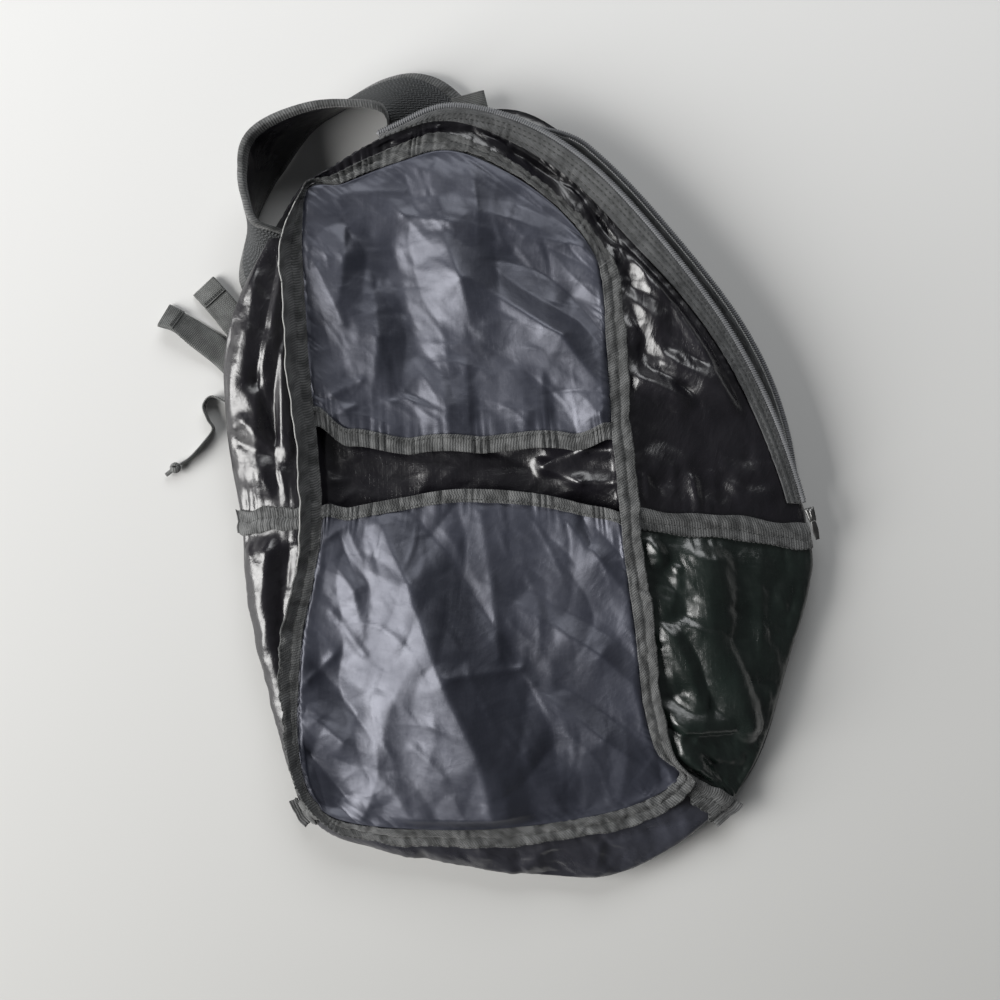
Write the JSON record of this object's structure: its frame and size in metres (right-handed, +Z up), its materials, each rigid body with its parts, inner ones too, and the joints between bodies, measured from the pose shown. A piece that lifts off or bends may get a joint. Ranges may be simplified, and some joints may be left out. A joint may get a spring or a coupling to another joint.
{
  "type": "packable backpack",
  "caption": "Thin nylon rucksack turned inside out, lying on its back panel with bound seams, pocket sheets, an open main zip and shoulder straps out of its mouth.",
  "frame": {"origin": "centre of the underside of the back panel, on the surface the bag lies on", "axes": "+X across the bag to the side with the open zip, +Y from the base to the top edge, +Z up from the back panel to the front panel"},
  "size_m": [0.3762, 0.4576, 0.0506],
  "materials": {
    "ripstop": "glossy coated nylon ripstop, near black",
    "ripstop_green": "glossy coated nylon ripstop, greenish black",
    "lining": "coated nylon, blue grey, soft sheen",
    "tape": "matt woven binding tape",
    "zip_tape": "matt woven zip tape",
    "zip_coil": "satin nylon coil",
    "strap_mesh": "matt spacer mesh",
    "webbing": "matt ribbed webbing",
    "metal": "plain light metal",
    "plastic": "satin moulded plastic"
  },
  "bodies": {
    "root": {"back_panel": "ripstop", "binding_back_seam": "tape", "front_panel": "ripstop", "gusset_upper": "ripstop", "gusset_right_lower": "ripstop_green", "bottom_panel": "ripstop", "gusset_left_lower": "ripstop", "pocket_sheet_upper": "lining", "pocket_sheet_lower": "lining", "hem_tape_upper": "tape", "hem_tape_lower": "tape", "binding_front_left": "tape", "binding_front_top": "tape", "binding_front_right": "tape", "binding_front_bottom": "tape", "binding_cross_right": "tape", "binding_cross_left": "tape", "binding_corner_right": "tape", "binding_corner_left": "tape", "zip_tape_front": "zip_tape", "zip_coil_front": "zip_coil", "zip_tape_back": "zip_tape", "zip_coil_back": "zip_coil", "zip_slider": "metal", "strap_left_pad": "strap_mesh", "strap_left_binding_low": "tape", "strap_left_binding_high": "tape", "strap_right_pad": "strap_mesh", "strap_right_binding_low": "tape", "strap_right_binding_high": "tape", "webbing_tail_left": "webbing", "webbing_tail_right": "webbing", "haul_loop": "webbing", "pull_ribbon": "webbing", "ribbon_knot": "webbing", "ladder_lock_left": "plastic", "ladder_lock_right": "plastic"}
  },
  "joints": []
}
